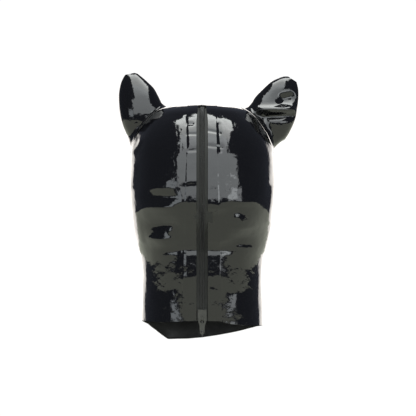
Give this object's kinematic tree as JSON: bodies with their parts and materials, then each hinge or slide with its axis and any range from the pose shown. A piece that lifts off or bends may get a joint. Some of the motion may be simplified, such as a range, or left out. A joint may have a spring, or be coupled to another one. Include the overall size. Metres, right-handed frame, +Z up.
{
  "type": "latex pig hood",
  "caption": "Glossy black full-head hood with two upright cupped ears, a moulded flat-ended snout, two eye openings and a zip down the back.",
  "frame": {"origin": "inside the crown, where the top of the wearer's head bears", "axes": "+Z up, the face looks along -Y, the zip lies at +Y, +X is the wearer's left"},
  "size_m": [0.2029, 0.2425, 0.3002],
  "materials": {
    "latex": "polished black latex, mirror gloss",
    "zip_tape": "ribbed woven tape, matt",
    "zip_coil": "nylon coil, satin",
    "gunmetal": "dark plated metal, satin"
  },
  "bodies": {
    "hood": {"hood_left": "latex", "hood_right": "latex", "left_ear": "latex", "right_ear": "latex", "snout": "latex", "zip_tape_left": "zip_tape", "zip_tape_right": "zip_tape", "zip_chain": "zip_coil", "zip_end_stop": "gunmetal", "zip_slider": "gunmetal"},
    "zip_pull": {"zip_pull": "gunmetal"}
  },
  "joints": [
    {"name": "pull_hinge", "type": "hinge", "parent": "hood", "child": "zip_pull", "pos_m": [0, 0.07293, -0.23712], "axis": [1, 0, 0], "range_deg": [0, 160]}
  ]
}
